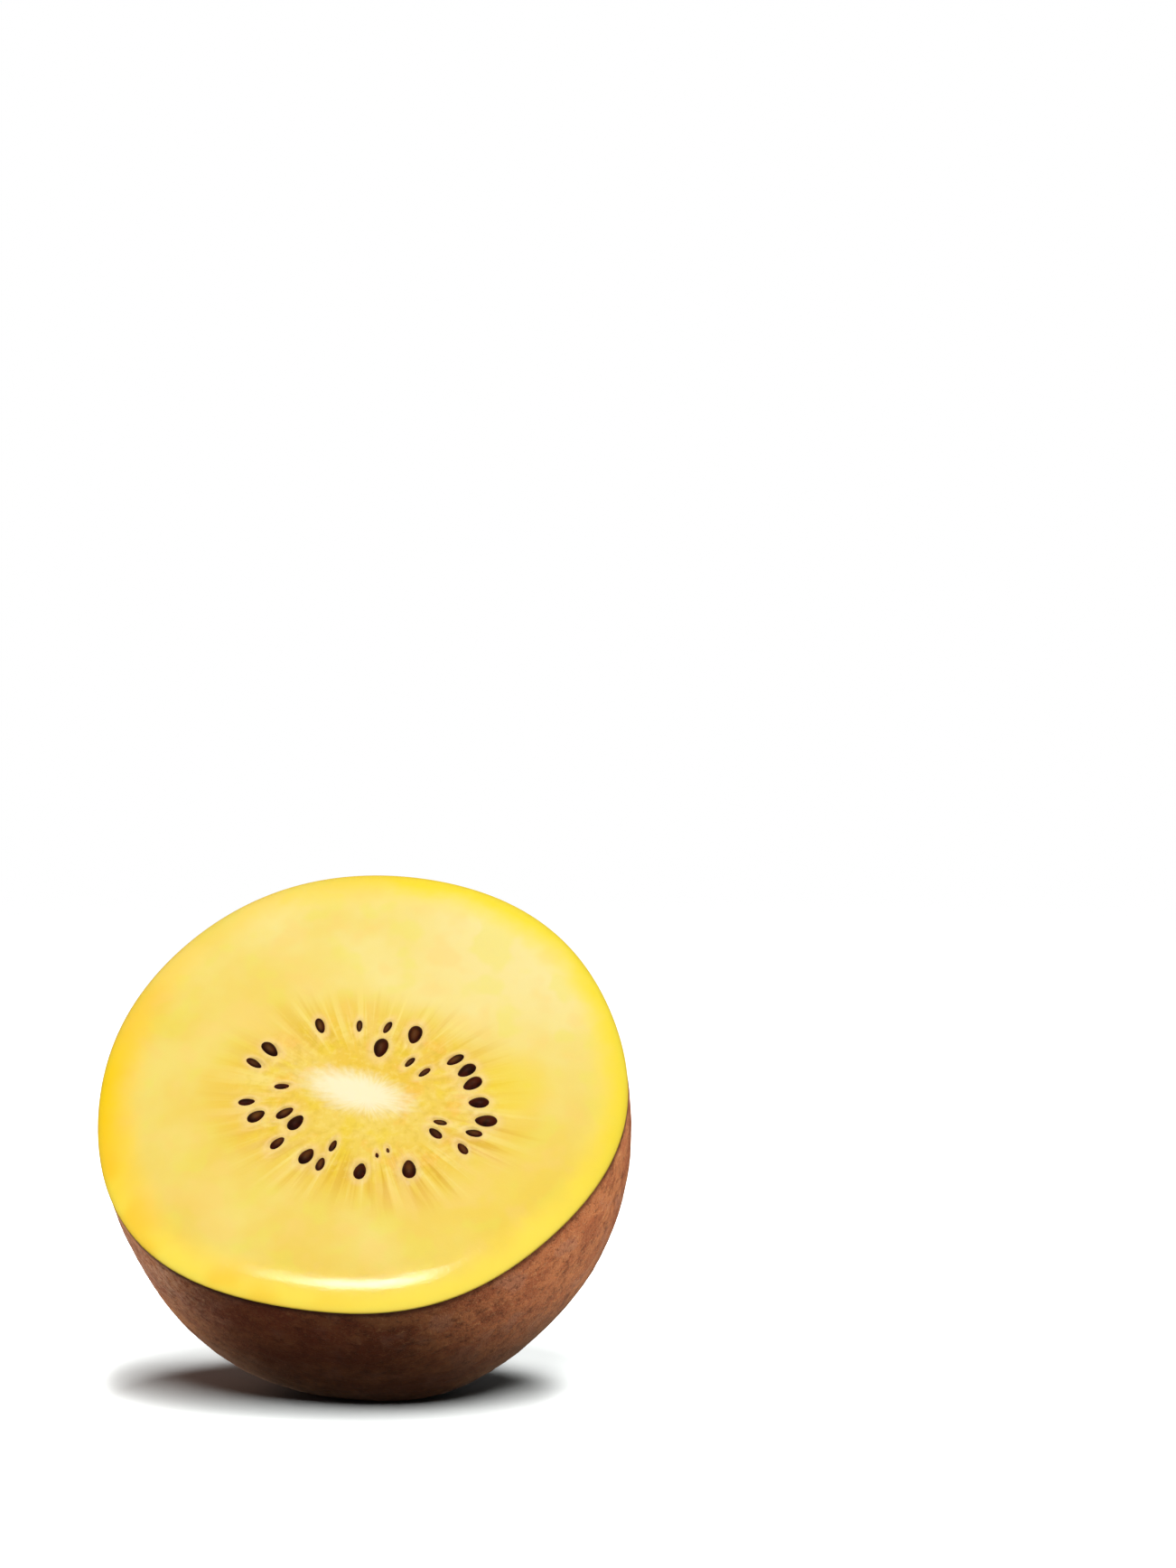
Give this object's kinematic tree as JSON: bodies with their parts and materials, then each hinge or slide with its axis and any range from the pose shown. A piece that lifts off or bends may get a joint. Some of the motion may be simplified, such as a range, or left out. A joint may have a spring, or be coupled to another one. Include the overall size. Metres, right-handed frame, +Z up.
{
  "type": "halved golden kiwi fruit",
  "caption": "Half of a golden kiwi fruit cut across the middle, lying on its thin brown skin, with golden flesh, a pale core and dark seeds on the cut face.",
  "frame": {"origin": "middle of the small flat spot that the half fruit rests on", "axes": "+Z up; the cut face looks up and towards -Y; +X to the right as the cut face is seen from the front"},
  "size_m": [0.0519, 0.0506, 0.0511],
  "materials": {
    "skin": "thin dry fruit skin, bronze brown, finely grained and nearly hairless, dull",
    "flesh": "wet translucent golden flesh, freshly cut, with a cream core",
    "seed": "smooth shiny dark brown seeds"
  },
  "bodies": {
    "root": {"skin": "skin", "flesh": "flesh"}
  },
  "joints": []
}
